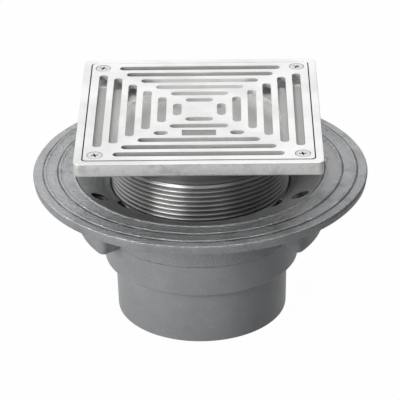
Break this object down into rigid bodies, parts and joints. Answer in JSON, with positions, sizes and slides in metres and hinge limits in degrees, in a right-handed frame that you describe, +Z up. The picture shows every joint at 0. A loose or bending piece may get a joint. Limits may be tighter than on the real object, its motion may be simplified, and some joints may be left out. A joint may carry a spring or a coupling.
{
  "type": "floor drain",
  "caption": "Cast floor drain with a ridged round flange, dished clamping collar and an adjustable square slotted strainer on a threaded neck.",
  "frame": {"origin": "middle of the outlet's lower face, on the drain's upright axis", "axes": "+Z up through the strainer, +X towards one bolt lobe, -Y towards the nameplate recess"},
  "size_m": [0.2142, 0.2142, 0.1385],
  "materials": {
    "body_iron": "fine cast skin under a thin grey coat",
    "collar_iron": "smooth cast skin under a thin grey coat",
    "bolt_steel": "plated steel",
    "frame_metal": "satin top and sides, bright turned thread",
    "grate_metal": "fine satin",
    "screw_steel": "plain stainless"
  },
  "bodies": {
    "drain": {"drain_body": "body_iron", "clamp_collar": "collar_iron", "clamp_bolts": "bolt_steel"},
    "strainer": {"strainer_frame": "frame_metal", "grate": "grate_metal", "grate_screws": "screw_steel"}
  },
  "joints": [
    {"name": "strainer_height", "type": "slide", "parent": "drain", "child": "strainer", "axis": [0, 0, 1], "range_m": [-0.025, 0.006]}
  ]
}
